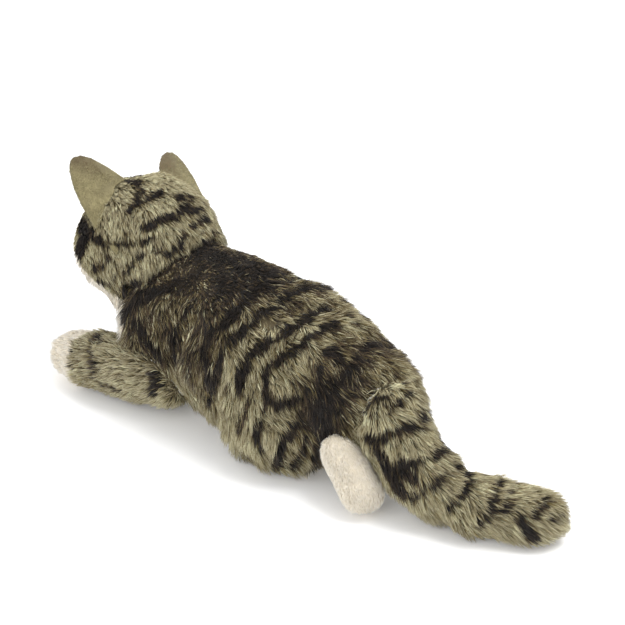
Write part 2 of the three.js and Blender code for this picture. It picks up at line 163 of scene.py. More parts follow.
def meshFrom(bm, name, smooth=True):  # the bmesh is used up
    mesh = bpy.data.meshes.new(name)
    bm.to_mesh(mesh)
    bm.free()
    for polygon in mesh.polygons:
        polygon.use_smooth = smooth
    return mesh


# Skins: a smooth closed surface over the sewn covers of one body.
skinSizes = {
    "voxel": 0.0032,
    "smoothing": 14,
    "swell": -0.0002,
    "lumps": 0.0009,
    "lumpSize": 0.045,
    "lowest": 0.0006,  # how near the floor it comes
    "fill": 0.85,
}


def largestIsland(mesh):
    bm = bmesh.new()
    bm.from_mesh(mesh)
    bm.verts.ensure_lookup_table()
    seen = set()
    best = []
    for start in bm.verts:
        if start in seen:
            continue
        seen.add(start)
        island = [start]
        for vert in island:
            for edge in vert.link_edges:
                other = edge.other_vert(vert)
                if other not in seen:
                    seen.add(other)
                    island.append(other)
        if len(island) > len(best):
            best = island
    keep = set(best)
    bmesh.ops.delete(bm, geom=[v for v in bm.verts if v not in keep], context="VERTS")
    return bm


tailCurl = {
    "start": (0.0186, 0.1330, 0.030),
    "end": (0.0160, 0.1560, 0.022),
    "pivot": (0.0186, 0.1449, 0.024),
    "radius": 0.0195,
}


def remeshed(nodeNames, voxel, smoothing, filler=None):  # copies of some nodes made one smooth closed bmesh
    bm = filler or bmesh.new()
    for nodeName in nodeNames:
        bm.from_mesh(nodes[nodeName].data)
    bmesh.ops.remove_doubles(bm, verts=bm.verts, dist=1e-5)
    rough = addObject("rough_cover", meshFrom(bm, "rough_cover", smooth=False))
    remesh = rough.modifiers.new("remesh", "REMESH")
    remesh.mode = "VOXEL"
    remesh.voxel_size = voxel
    graph = bpy.context.evaluated_depsgraph_get()
    solid = bpy.data.meshes.new_from_object(rough.evaluated_get(graph))
    bpy.data.objects.remove(rough)
    bm = largestIsland(solid)
    bpy.data.meshes.remove(solid)
    for _ in range(smoothing):
        bmesh.ops.smooth_vert(bm, verts=bm.verts, factor=0.5, use_axis_x=True, use_axis_y=True, use_axis_z=True)
    return bm


def attach(piece, body):  # the tail's pieces span its root and its curled end, so they are baked in place, not parented to a body
    if body == "tail":
        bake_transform(piece)
    else:
        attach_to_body(piece, body)


def makeSkin(name, nodeNames, body):
    filler = None
    if body == "tail":  # filling between the two halves
        filler = bmesh.new()
        between = Matrix.Translation(tailCurl["pivot"])
        bmesh.ops.create_icosphere(filler, subdivisions=3, radius=tailCurl["radius"], matrix=between)
    bm = remeshed(nodeNames, skinSizes["voxel"], skinSizes["smoothing"], filler)
    bm.normal_update()
    corners = np.array([v.co[:] for v in bm.verts])
    lumps = wobble(corners, skinSizes["lumpSize"], 3) * skinSizes["lumps"]
    for vert, lump in zip(bm.verts, lumps):
        vert.co += vert.normal * (skinSizes["swell"] + float(lump))
        vert.co.z = max(vert.co.z, skinSizes["lowest"])
    skin = addObject(name, meshFrom(bm, name))
    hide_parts(*[n for n in nodeNames if "filling" not in n and "pouch" not in n])
    attach(skin, body)
    print("skin", name, len(skin.data.vertices))
    return skin


torsoNodes = ["back_panel_left", "back_panel_right", "belly_and_chest_panel", "torso_filling", "pellet_pouch"]
torsoNodes += [f"haunch_{side}_{part}" for side in ("left", "right") for part in ("cover", "filling")]
tailNodes = [f"tail_{half}_{part}" for half in ("root", "end") for part in ("cover", "filling")]
skins = {
    "torso": makeSkin("torso_skin", torsoNodes, "torso"),
    "head": makeSkin("head_skin", ["crown_cover", "face_and_throat_cover", "head_filling"], "head"),
    "tail": makeSkin("tail_skin", tailNodes, "tail"),
}
for side in ("left", "right"):
    legParts = [f"foreleg_{side}_{part}" for part in ("sleeve", "paw", "filling")]
    skins["foreleg_" + side] = makeSkin(f"foreleg_{side}_skin", legParts, "foreleg_" + side)
    footParts = [f"hind_foot_{side}_{part}" for part in ("cover", "filling")]
    skins["hindFoot_" + side] = makeSkin(f"hind_foot_{side}_skin", footParts, "hind_foot_" + side)


# One hair: a three-sided spike, with a joint part of the way up unless it is short.
def hairShape(jointed):
    bm = bmesh.new()
    bmesh.ops.create_cone(bm, cap_ends=True, segments=3, radius1=1, radius2=0, depth=1)
    bmesh.ops.translate(bm, verts=bm.verts, vec=(0, 0, 0.5))
    bmesh.ops.remove_doubles(bm, verts=bm.verts, dist=1e-4)
    if jointed:
        whole = bm.verts[:] + bm.edges[:] + bm.faces[:]
        bmesh.ops.bisect_plane(bm, geom=whole, plane_co=(0, 0, 0.45), plane_no=(0, 0, 1))
        bmesh.ops.triangulate(bm, faces=bm.faces)
    bm.verts.ensure_lookup_table()
    corners = np.array([v.co[:] for v in bm.verts])
    faces = np.array([[v.index for v in f.verts] for f in bm.faces])
    bm.free()
    middle = (corners[:, 2] > 0.1) & (corners[:, 2] < 0.9)
    corners[middle, :2] *= 1.5  # fuller than a plain cone
    return corners, faces


longHair = hairShape(True)
shortHair = hairShape(False)


def skinArrays(skin):
    mesh = skin.data
    corners = np.zeros(len(mesh.vertices) * 3)
    normals = np.zeros(len(mesh.vertices) * 3)
    mesh.vertices.foreach_get("co", corners)
    mesh.vertices.foreach_get("normal", normals)
    return corners.reshape(-1, 3), normals.reshape(-1, 3)


def skinPoints(skin, perSquareMm, rng, keep=None):  # roots spread evenly over a skin, with their normals
    mesh = skin.data
    mesh.calc_loop_triangles()
    corners, normals = skinArrays(skin)
    triangles = np.zeros(len(mesh.loop_triangles) * 3, int)
    mesh.loop_triangles.foreach_get("vertices", triangles)
    triangles = triangles.reshape(-1, 3)
    a, b, c = (corners[triangles[:, k]] for k in range(3))
    areas = np.linalg.norm(np.cross(b - a, c - a), axis=1) / 2
    if keep is not None:
        areas = areas * keep((a + b + c) / 3)
    count = int(areas.sum() * 1e6 * perSquareMm)
    chosen = rng.choice(len(areas), count, p=areas / areas.sum())
    u, v = rng.random(count), rng.random(count)
    over = u + v > 1
    u[over], v[over] = 1 - u[over], 1 - v[over]
    share = np.stack([1 - u - v, u, v], axis=1)[:, :, None]
    picked = triangles[chosen]
    roots = (corners[picked] * share).sum(axis=1)
    return roots, unit((normals[picked] * share).sum(axis=1))


def treeOf(mesh):
    return BVHTree.FromPolygons([v.co for v in mesh.vertices], [tuple(p.vertices) for p in mesh.polygons])


skinTrees = {key: treeOf(skin.data) for key, skin in skins.items()}


def isInside(tree, point):  # a ray leaves a closed skin one more time than it enters it
    aim = Vector((0.31, 0.17, 0.94)).normalized()
    spot = Vector(point)
    crossings = 0
    hit = tree.ray_cast(spot, aim)[0]
    while hit is not None:
        crossings += 1
        spot = hit + aim * 1e-5
        hit = tree.ray_cast(spot, aim)[0]
    return crossings % 2 == 1


def outsideOthers(points, ownKey):  # False where a point lies inside another body's skin
    clear = np.ones(len(points), bool)
    for key, tree in skinTrees.items():
        if key == ownKey:
            continue
        corners, _ = skinArrays(skins[key])
        near = np.all((points > corners.min(axis=0)) & (points < corners.max(axis=0)), axis=1) & clear
        for i in np.flatnonzero(near):
            clear[i] = not isInside(tree, points[i])
    return clear


def growFur(name, bodyName, roots, normals, flow, sizes, lengths, kindOf, finishes, rng, hair=longHair):
    hairCorners, hairFaces = hair
    count = len(roots)
    lift = sizes["lift"]
    jitter = sizes.get("jitter", 0.16)
    clump = sizes.get("clump", 0.55)
    flow = unit(flow - normals * (flow * normals).sum(axis=1, keepdims=True))
    sway = np.stack([wobble(roots, 0.022, 51 + k) for k in range(3)], axis=1) * sizes.get("sway", 0.3)
    flow = unit(flow + sway)
    start = unit(normals * lift + flow + rng.normal(size=(count, 3)) * jitter)
    end = unit(normals * lift * 0.3 + flow + rng.normal(size=(count, 3)) * jitter + np.array([0, 0, -0.15]))
    lengths = (lengths * rng.uniform(0.7, 1.12, count) * (1 + 0.1 * wobble(roots, 0.015, 61)))[:, None]
    cell = sizes.get("cell", 0.0042)
    cells = np.floor(roots / cell + wobble(roots, cell * 3, 5)[:, None] * 0.5).astype(int)
    _, group = np.unique(cells, axis=0, return_inverse=True)
    group = group.reshape(-1)
    size = np.bincount(group).astype(float)

    def groupMean(values):
        sums = np.stack([np.bincount(group, values[:, k]) for k in range(values.shape[1])], axis=1)
        return (sums / size[:, None])[group]

    led = [groupMean(values) for values in (roots, start, end, lengths)]
    hold = clump * (0.5 + rng.random(len(size))[group])[:, None]  # some locks hold together better
    sideways = unit(np.cross(start, normals + rng.normal(size=(count, 3)) * 0.4))
    upward = np.cross(sideways, start)
    widths = (sizes["width"] * rng.uniform(0.7, 1.3, count))[:, None]

    def spine(t):
        own = roots + lengths * ((t - t * t / 2) * start + (t * t / 2) * end)
        lead = led[0] + led[3] * ((t - t * t / 2) * led[1] + (t * t / 2) * led[2])
        return own + (lead - own) * np.minimum(hold * t * t, 0.85)

    kinds = kindOf(spine(0.7))
    points = np.zeros((count, len(hairCorners), 3))
    for k, (x, y, t) in enumerate(hairCorners):
        points[:, k] = spine(t) + widths * (x * sideways + y * upward)
        points[:, k] -= normals * (0.0006 if t < 0.01 else 0)
    points[:, :, 2] = np.maximum(points[:, :, 2], 0.0003)
    tint = rng.random(count) * 0.6 + (rng.random(len(size))[group]) * 0.4
    for kind, finish in enumerate(finishes):
        chosen = np.flatnonzero(kinds == kind)
        for part, some in enumerate(np.array_split(chosen, max(1, math.ceil(len(chosen) / 19000)))):
            if len(some) < 20:
                continue
            mesh = bpy.data.meshes.new(f"{name}_{finish.material.name}_{part + 1}")
            faces = (hairFaces[None] + np.arange(len(some))[:, None, None] * len(hairCorners)).reshape(-1)
            mesh.vertices.add(len(some) * len(hairCorners))
            mesh.vertices.foreach_set("co", points[some].astype(np.float32).ravel())
            mesh.loops.add(len(faces))
            mesh.loops.foreach_set("vertex_index", faces.astype(np.int32))
            mesh.polygons.add(len(faces) // 3)
            mesh.polygons.foreach_set("loop_start", np.arange(0, len(faces), 3, dtype=np.int32))
            mesh.update()
            mesh.polygons.foreach_set("use_smooth", np.ones(len(mesh.polygons), bool))
            along = mesh.attributes.new("along", "FLOAT", "POINT")
            along.data.foreach_set("value", np.tile(hairCorners[:, 2], len(some)).astype(np.float32))
            own = mesh.attributes.new("tint", "FLOAT", "POINT")
            own.data.foreach_set("value", np.repeat(tint[some], len(hairCorners)).astype(np.float32))
            mesh.materials.append(finish.material)
            piece = addObject(mesh.name, mesh)
            attach(piece, bodyName)
    print("fur", name, count, [int((kinds == k).sum()) for k in range(len(finishes))])


# Pile colours: at the root, along the hair and at the tip; the dark roots are partly the hair's own colour and partly
# painted shade deep in the pile.
pileColours = {
    "dark": ("#050403", "#130e0b", "#332a21"),
    "brown": ("#0e0a07", "#3b2f20", "#6b5a43"),
    "middle": ("#231d13", "#70633f", "#9a8d66"),
    "light": ("#332c1f", "#a89c78", "#dad0ae"),
    "cream": ("#e3d9c3", "#fbf2e0", "#fffaf0"),
}


def pileFinish(name, colours, roughness=0.7, variety=1.3):
    finish = Finish(name)
    rootColourAndShade, middleColour, tipColour = map(linear, colours)
    # darker towards the root: partly the hair's own colour, partly painted shade deep in the pile
    base = finish.ramp(finish.attribute("along"), [(0, rootColourAndShade), (0.5, middleColour), (1, tipColour)])
    shift = finish.attribute("tint") * 0.9 + finish.noise(70) * 0.5 - 0.7
    brighter = tuple(min(1, c * 1.6) for c in tipColour)
    darker = tuple(c * 0.5 for c in middleColour)
    varied = finish.mix((shift * variety).maths("MAXIMUM", 0, clamp=True), base, (*brighter, 1))
    varied = finish.mix((shift * -variety).maths("MAXIMUM", 0, clamp=True), varied, (*darker, 1))
    finish.link(varied, "Base Color")
    finish.fixed(Roughness=roughness, Specular_IOR_Level=0.3)
    finish.shader.inputs["Sheen Weight"].default_value = 0.08
    return finish


finishes = {}
for name, colours in pileColours.items():
    finishes[name] = pileFinish(name + "_pile", colours, variety=0.3 if name == "cream" else 1.4)
furFinishes = [finishes[k] for k in ("dark", "brown", "middle", "light", "cream")]

skinCloth = Finish("backing_cloth")
coatWire = skinCloth.attribute("coat")
backing = skinCloth.ramp(coatWire, [(0, linear("#6f6446")), (0.45, linear("#3d3323")), (1, linear("#15100c"))])
skinCloth.link(skinCloth.mix(skinCloth.attribute("white"), backing, (*linear("#f4ecdc"), 1)), "Base Color")
skinCloth.bump(skinCloth.noise(900, 1), 0.3, 0.0004)
skinCloth.fixed(Roughness=0.9)

creamCloth = Finish("cream_backing_cloth")
creamShades = [(0.3, linear("#efe6d3")), (0.7, linear("#faf2e2"))]
creamCloth.link(creamCloth.ramp(creamCloth.noise(300), creamShades), "Base Color")
creamCloth.fixed(Roughness=0.9)


# The coat's markings: strokes on the surface in millimetres, each with its half-width and strength.
markings = {
    "torso": [
        (5, 0.95, (1, -31, 117), (17, -33, 115), (33, -32, 109), (42, -34, 102), (49, -36, 95)),
        (5, 1, (-15, -13, 112), (8, -12, 114), (23, -12, 111), (39, -15, 103), (50, -22, 93), (57, -28, 84),
         (60, -30, 75), (64, -31, 61), (62, -38, 38)),
        (5, 1, (-10, 15, 109), (7, 13, 110), (23, 13, 107), (35, 8, 102), (46, 2, 94), (54, -6, 85), (60, -8, 73),
         (66, -6, 59)),
        (4, 1, (2, 31, 106), (20, 28, 105), (36, 26, 98), (46, 18, 91), (54, 12, 82), (58, 12, 74), (62, 19, 65),
         (60, 28, 62), (53, 39, 69)),
        (3.5, 0.85, (30, 38, 97), (34, 46, 89), (41, 49, 80), (49, 45, 72)),
        (5, 0.5, (50, 33, 79)),
        (7, 0.8, (22, 45, 97), (23, 51, 93)),
        (5, 1, (-15, 53, 94), (7, 59, 94), (23, 62, 89), (34, 61, 81), (43, 58, 70), (48, 52, 64)),
        (3.4, 0.95, (64, 21, 60), (68, 20, 49), (70, 17, 39), (69, 19, 26)),
        (3.8, 1, (52, 46, 62), (58, 43, 50), (63, 37, 38), (64, 32, 22), (59, 25, 6)),
        (3.6, 1, (48, 54, 63), (52, 52, 51), (55, 51, 38), (57, 47, 26), (57, 37, 13)),
        (4, 1, (45, 62, 62), (47, 60, 45), (48, 55, 27), (43, 46, 8)),
        (4, 0.7, (66, 4, 60), (70, 2, 48), (71, -1, 35)),
        (4, 0.8, (65, 4, 10), (63, -1, 7)),
        (6, 0.7, (9, -63, 119), (0, -56, 119), (-15, -55, 116), (-27, -48, 110)),
        (5, 0.75, (-27, -32, 109), (-22, -11, 109), (-29, -3, 104)),
        (3.5, 0.75, (-16, 21, 106), (-16, 28, 105), (-13, 39, 101)),
        # this broad dark band behind the head is partly the coat's dark neck and partly painted shade in the crease
        # where the head meets the body
        (7, 1, (21, -84, 117), (38, -93, 107), (48, -110, 95), (54, -124, 80), (52, -136, 61)),
        (4.5, 0.9, (38, -70, 108), (49, -72, 96), (56, -74, 81), (60, -77, 67), (60, -74, 53)),
        (4.5, 0.85, (33, -33, 109), (44, -38, 101), (53, -45, 89), (59, -46, 76), (62, -40, 65), (63, -37, 47)),
        (7, 0.85, (58, -114, 71), (60, -101, 62), (60, -91, 55)),
    ],
    "head": [
        (4, 1, (28, -147, 141), (18, -147, 145), (9, -143, 146), (1, -143, 147)),
        (4, 0.85, (15, -148, 146), (9, -156, 149), (4, -166, 149), (3, -177, 146)),
        (4, 1, (29, -130, 131), (22, -128, 135), (12, -123, 135), (1, -122, 135), (-11, -123, 135), (-29, -124, 127)),
        (3, 0.9, (-7, -131, 141), (-18, -134, 140), (-26, -134, 137), (-12, -126, 137), (-3, -123, 136)),
        (2.6, 0.9, (46, -143, 119), (41, -135, 121), (34, -128, 123), (28, -122, 125)),
        (3, 1, (5, -114, 128), (9, -109, 123), (16, -107, 119), (23, -110, 115), (31, -116, 117), (38, -124, 115),
         (43, -128, 109), (47, -134, 102), (50, -142, 92), (49, -154, 83), (49, -161, 83)),
        (2.6, 0.9, (49, -137, 79), (44, -130, 86), (44, -119, 98)),
        (3.2, 0.95, (5, -101, 112), (-10, -104, 113), (-24, -110, 110), (-31, -114, 113), (-34, -118, 120)),
        (4, 0.85, (-5, -113, 127), (-12, -115, 127), (-24, -117, 123)),
        (7, 1, (39, -190, 118), (47, -175, 117), (49, -176, 111), (46, -184, 97)),
        (3.5, 0.85, (47, -171, 121), (49, -158, 119), (49, -149, 116), (51, -150, 104), (52, -159, 95)),
    ],
    "tail": [
        (5, 0.9, (1, 86, 84), (5, 82, 84), (15, 80, 86)),
        (6, 0.6, (4, 85, 85)),
        (5, 1, (22, 76, 82), (29, 77, 75)),
        (3, 0.95, (-3, 102, 75), (15, 105, 78), (30, 101, 75), (38, 93, 70), (40, 86, 65)),
        (3, 0.9, (22, 97, 81), (30, 90, 78), (37, 78, 67)),
        (4.2, 1, (-1, 117, 61), (13, 122, 64), (27, 117, 67), (36, 112, 64), (42, 107, 59), (44, 97, 56)),
        (3.2, 1, (4, 139, 48), (14, 141, 53), (31, 140, 52), (40, 130, 49), (44, 118, 50)),
        (6, 0.8, (44, 125, 45), (43, 137, 41)),
        (3, 0.95, (1, 147, 42), (21, 157, 46), (32, 154, 43), (41, 147, 37), (44, 144, 30), (45, 136, 27)),
        (3.2, 1, (3, 154, 41), (19, 167, 44), (26, 171, 39), (32, 169, 34), (37, 164, 26)),
        (3, 0.95, (3, 181, 42), (15, 188, 39), (23, 191, 31), (29, 187, 21), (30, 182, 12)),
        (2.8, 1, (-4, 190, 42), (10, 197, 39), (18, 198, 33), (25, 194, 25)),
        (5, 1, (15, 207, 28), (13, 213, 21), (11, 215, 12)),
        (3, 0.85, (-11, 212, 37), (1, 216, 34), (8, 216, 29)),
        (2.5, 0.7, (-12, 225, 25), (-1, 223, 26)),
        (7, 0.9, (46, 105, 47), (46, 119, 38), (45, 126, 25)),
    ],
    "foreleg": [
        (2.5, 0.8, (69, -174, 33), (72, -173, 29), (74, -168, 23)),
        (3, 0.7, (59, -160, 44), (68, -153, 39), (72, -146, 33), (73, -146, 21)),
        (3.5, 0.9, (54, -159, 46), (58, -151, 46)),
        (5, 0.95, (64, -93, 41), (65, -91, 35), (64, -93, 25)),
        (4, 0.6, (70, -125, 18), (72, -138, 18)),
    ],
}


def strokeField(points, strokes):
    value = np.zeros(len(points))
    place = points / millimetre
    place = place + np.stack([wobble(points, 0.012, 71 + k) for k in range(3)], axis=1) * 1.6
    for halfWidth, strength, *spots in strokes:
        line = np.array(spots, float)
        nearest = np.full(len(points), 1e9)
        for a, b in zip(line[:-1], line[1:]) if len(line) > 1 else [(line[0], line[0])]:
            span = b - a
            share = np.clip(((place - a) @ span) / max(span @ span, 1e-6), 0, 1)
            nearest = np.minimum(nearest, np.linalg.norm(place - a - share[:, None] * span, axis=1))
        edge = np.clip(1.5 - nearest / halfWidth, 0, 1)
        value = np.maximum(value, strength * edge * edge * (3 - 2 * edge))
    return value


def bothSides(points, strokes, middle, across, turn=-24):  # the far side carries the same markings, mirrored
    out = ((points / millimetre - middle) * across).sum(axis=1)
    own = strokeField(points, strokes)
    mirrored = points - (2 * out * millimetre)[:, None] * across
    other = strokeField(mirrored, strokes)
    share = np.clip((out - turn) / 10, 0, 1)
    return own * share + other * (1 - share)


headShape = {"middle": np.array([-1.4, -159.1, 100.0]), "turn": 14, "roll": 10}
turnBy, rollBy = math.radians(headShape["turn"]), math.radians(headShape["roll"])
headAcross = np.array([math.cos(turnBy) * math.cos(rollBy), -math.sin(turnBy) * math.cos(rollBy), math.sin(rollBy)])
headBack = np.array([math.sin(turnBy), math.cos(turnBy), 0.0])
headUp = np.cross(headAcross, headBack)


def fromHead(right, back, up):  # a place given by its offsets in the turned head
    return tuple(headShape["middle"] + right * headAcross + back * headBack + up * headUp)


# Marks on the face: brow lines, cheek lines and a rim round each eye, by half-width and strength.
faceMarks = []
for side in (1, -1):
    faceMarks += [(2.2, 0.9, fromHead(side * 5, -45, 18), fromHead(side * 5, -34, 33), fromHead(side * 4, -16, 44))]
    faceMarks += [(2.4, 0.85, fromHead(side * 17, -40, 19), fromHead(side * 16, -28, 33), fromHead(side * 14, -14, 42))]
    faceMarks += [(2.2, 0.85, fromHead(side * 28, -38, 3), fromHead(side * 38, -29, -1), fromHead(side * 45, -14, -5))]
    turns = [k * math.pi / 6 for k in range(13)]
    faceMarks += [(1.8, 0.95, *(fromHead(side * 19 + 8.5 * math.cos(t), -42, 5 + 8.5 * math.sin(t)) for t in turns))]
tailLine = [(2.6, 56, 61), (12.6, 88, 54), (20.6, 115, 37), (18.6, 145, 24)]  # from the rump to the tip
tailLine = np.array(tailLine + [(10.6, 170, 19.5), (0.6, 190, 18.5), (-8.4, 206, 17.5), (-14, 216, 17)])


def torsoCoat(points):
    x, y, z = (points / millimetre).T
    value = bothSides(points, markings["torso"], np.array([2.6, 0, 0]), np.array([1.0, 0, 0]), turn=-34)
    shoulder = np.clip((-y - 14) / 26, 0, 1) * np.clip((z - 24) / 30, 0, 1)
    spine = np.exp(-((x - 2) / 26) ** 2) * (z > 60) * np.clip((60 - y) / 90, 0, 1)
    rump = np.exp(-(((y - 58) / 18) ** 2 + ((z - 62) / 30) ** 2))
    haunch = np.exp(-(((y - 15) / 26) ** 2 + ((z - 36) / 26) ** 2))
    streak = strokeField(points, [(5, 1, (60, -20, 78), (63, -25, 62), (64, -30, 48))])
    uneven = 0.12 * wobble(points, 0.022, 13)
    base = 0.2 + 0.3 * shoulder + 0.3 * spine + 0.72 * rump - 0.15 * haunch + uneven - 0.35 * streak
    white = ((z < 7) & (np.abs(x - 2.6) < 42)) | (y + 0.35 * z < -113 + 3 * wobble(points, 0.02, 14))
    return np.maximum(value, base), white


def headCoat(points):
    place = points / millimetre - headShape["middle"]
    right, back, up = place @ headAcross, place @ headBack, place @ headUp
    value = bothSides(points, markings["head"], headShape["middle"], headAcross, turn=-34)
    value = np.maximum(value, strokeField(points, faceMarks))
    base = 0.12 + 0.1 * wobble(points, 0.03, 23) + 0.35 * np.exp(-(((back - 38) / 14) ** 2 + ((up + 30) / 16) ** 2))
    edge = 2.5 * wobble(points, 0.015, 24)
    white = (-0.8 * back - 0.6 * up > 31 + edge) | (-0.35 * back - 0.94 * up > 20.5 + edge)
    return np.maximum(value, base), white


def tailCoat(points):
    place = points / millimetre
    centre = np.interp(place[:, 1], tailLine[:, 1], tailLine[:, 0])
    out = place[:, 0] - centre
    other = points.copy()
    other[:, 0] = (centre - out) * millimetre
    share = np.clip((out + 14) / 8, 0, 1)
    value = strokeField(points, markings["tail"]) * share + strokeField(other, markings["tail"]) * (1 - share)
    base = 0.14 + 0.1 * wobble(points, 0.03, 33)
    return np.maximum(value, base), np.zeros(len(points), bool)


def forelegCoat(points):
    place = points / millimetre
    nearer = points.copy()
    nearer[:, 0] = (2.6 + np.abs(place[:, 0] - 2.6)) * millimetre
    value = strokeField(nearer, markings["foreleg"])
    side = np.abs(place[:, 0] - 2.6)
    inner = nearer.copy()
    inner[:, 0] = (2.6 + 2 * 46 - side) * millimetre
    value = np.where(side < 44, np.maximum(value, strokeField(inner, markings["foreleg"])), value)
    base = 0.15 + 0.1 * wobble(points, 0.03, 43)
    white = place[:, 1] + 0.25 * place[:, 2] + 0.1 * side < -160 + 2 * wobble(points, 0.015, 44)
    return np.maximum(value, base), white


def whiteCoat(points):
    return np.zeros(len(points)), np.ones(len(points), bool)


def kindsBy(coatOf, rng):
    def kindOf(points):
        dark, white = coatOf(points)
        value = dark + rng.normal(size=len(points)) * 0.13 + 0.07 * wobble(points, 0.007, 81)
        value -= 0.35 * (rng.random(len(points)) < 0.07)  # paler guard hairs over the dark stripes
        kinds = np.digitize(-value, (-0.62, -0.42, -0.27))
        return np.where(white, 4, kinds)

    return kindOf


def paintSkin(skin, coatOf):
    corners, _ = skinArrays(skin)
    dark, white = coatOf(corners)
    for name, values in (("coat", dark), ("white", white)):
        layer = skin.data.attributes.new(name, "FLOAT", "POINT")
        layer.data.foreach_set("value", values.astype(np.float32))
    skin.data.materials.append(skinCloth.material)
    if white.mean() > 0.5:
        skin.data.materials[0] = creamCloth.material


coats = {"torso": torsoCoat, "head": headCoat, "tail": tailCoat}
bodies = {"torso": "torso", "head": "head", "tail": "tail"}
for side in ("left", "right"):
    coats["foreleg_" + side], coats["hindFoot_" + side] = forelegCoat, whiteCoat
    bodies["foreleg_" + side], bodies["hindFoot_" + side] = "foreleg_" + side, "hind_foot_" + side
furSizes = {
    "torso": {"density": 1.08, "length": 0.0138, "width": 0.0003, "lift": 0.85, "sway": 0.55, "jitter": 0.2},
    "head": {"density": 1.45, "length": 0.0098, "width": 0.00028, "lift": 0.75},
    "tail": {"density": 1.3, "length": 0.0135, "width": 0.0003, "lift": 0.85, "sway": 0.4},
    "foreleg_left": {"density": 1.1, "length": 0.0095, "width": 0.00033, "lift": 0.75},
    "foreleg_right": {"density": 0.9, "length": 0.0095, "width": 0.00033, "lift": 0.75},
    "hindFoot_left": {"density": 2.0, "length": 0.0052, "width": 0.00026, "lift": 0.6, "sway": 0.15, "clump": 0.2},
    "hindFoot_right": {"density": 1.1, "length": 0.0052, "width": 0.00026, "lift": 0.6, "sway": 0.15, "clump": 0.2},
}
eyeShape = {"radius": 7.0, "apart": 19, "forward": 43, "rise": 5, "depth": 4.2}
eyeLevel = headShape["middle"] - eyeShape["forward"] * headBack + eyeShape["rise"] * headUp
eyeSpots = [eyeLevel + side * eyeShape["apart"] * headAcross for side in (1, -1)]
noseSpot = headShape["middle"] - 54 * headBack - 9 * headUp


def torsoFlow(points):
    x, y, z = (points / millimetre).T
    side = np.clip(np.abs(x - 2.6) / 55, 0, 1)
    flow = np.stack([0.2 * np.sign(x - 2.6) * side, np.ones(len(x)), -0.2 - 0.8 * side], axis=1)
    front = np.clip((-y - 118) / 20, 0, 1)[:, None]
    return flow * (1 - front) + np.array([0, -0.5, -1.0]) * front


def headFlow(points):
    place = points / millimetre
    flow = unit(place - noseSpot)
    backness = np.clip(((place - headShape["middle"]) @ headBack + 12) / 40, 0, 1)[:, None]
    flow = flow + backness * np.array([0, 0, -1.0]) + np.array([0, 0, -0.12])
    for spot in eyeSpots:
        away = place - spot
        near = np.clip(1.6 - np.linalg.norm(away, axis=1) / 9, 0, 1)[:, None]
        flow = flow * (1 - near) + unit(away) * near
    return flow


def tailFlow(points):
    place = points / millimetre
    step = np.gradient(tailLine, axis=0)
    flow = np.stack([np.interp(place[:, 1], tailLine[:, 1], step[:, k]) for k in range(3)], axis=1)
    out = place[:, 0] - np.interp(place[:, 1], tailLine[:, 1], tailLine[:, 0])
    return unit(flow) + np.stack([0.012 * out, 0 * out, -0.3 + 0 * out], axis=1)


flows = {
    "torso": torsoFlow,
    "head": headFlow,
    "tail": tailFlow,
    "foreleg_left": lambda p: np.tile([0.15, -1.0, -0.25], (len(p), 1)),
    "foreleg_right": lambda p: np.tile([-0.15, -1.0, -0.25], (len(p), 1)),
    "hindFoot_left": lambda p: np.tile([0.2, 0.7, -0.6], (len(p), 1)),
    "hindFoot_right": lambda p: np.tile([-0.2, 0.7, -0.6], (len(p), 1)),
}


def headLength(points, white):
    place = points / millimetre
    fromNose = np.linalg.norm(place - noseSpot, axis=1)
    length = np.clip(1.8 + 0.16 * (fromNose - 12), 1.8, 9.5) * np.where(white & (fromNose > 34), 1.35, 1)
    for spot in eyeSpots:
        length = np.minimum(length, np.clip(1.5 + 0.3 * (np.linalg.norm(place - spot, axis=1) - 7), 1.2, 10))
    return length * millimetre


rng = np.random.default_rng(7)
for key, skin in skins.items():
    sizes = furSizes[key]
    paintSkin(skin, coats[key])
    roots, normals = skinPoints(skin, sizes["density"], rng, lambda p: np.where(p[:, 2] < 0.007, 0.15, 1.0))
    clear = outsideOthers(roots, key)
    roots, normals = roots[clear], normals[clear]
    _, white = coats[key](roots)
    if key == "head":
        lengths = headLength(roots, white)
    else:
        lengths = np.where(white & ("foreleg" in key), 0.0075, sizes["length"])
        lengths = lengths * np.where(roots[:, 2] < 0.008, 0.55, 1)
        if key == "torso":
            nape = np.clip((-roots[:, 1] - 0.04) / 0.03, 0, 1) * np.clip((roots[:, 2] - 0.085) / 0.02, 0, 1)
            lengths = lengths * (1 - 0.6 * nape)
    growFur(bodies[key] + "_fur", bodies[key], roots, normals, flows[key](roots), sizes, lengths,
            kindsBy(coats[key], rng), furFinishes, rng)

# Ears: both sheets remade as smooth cloth, with clipped pile grown on the outer one.
earSizes = {
    "voxel": 0.0008,
    "smoothing": 8,
    "length": 0.0014,
    "width": 0.00022,
    "density": 3.0,
    "lift": 1.2,
    "jitter": 0.3,
    "clump": 0.15,
    "cell": 0.002,
    "sway": 0.5,
    "fill": 0.2,
}


def earFinish(name, pale, deep, brown, spots):
    finish = Finish(name)
    patches = finish.ramp(finish.noise(70, 3), [(0.35, linear(pale)), (0.62, linear(deep))])
    speckle = finish.ramp(finish.noise(1400, 2), [(0.5, (0, 0, 0)), (0.72, (1, 1, 1))])
    spotted = finish.mix(speckle * spots, patches, (*linear(brown), 1))
    finish.link(finish.mix(finish.attribute("tipward") * 0.7, spotted, (*linear(brown), 1)), "Base Color")
    finish.bump(finish.noise(1700, 2), 0.5, 0.0004)
    finish.fixed(Roughness=0.95)
    finish.shader.inputs["Sheen Weight"].default_value = 0.15
    return finish


earPile = earFinish("ear_cloth", "#8f8661", "#6f6748", "#4d3d2a", 0.6)
earSpeckle = [pileFinish("ear_" + name, colours, 0.9) for name, colours in
              (("brown_pile", ("#2b2116", "#4f3e2a", "#7a6347")), ("deep_pile", ("#363221", "#625b3e", "#857c57")),
               ("pale_pile", ("#4e4832", "#8b835c", "#b0a67d")))]


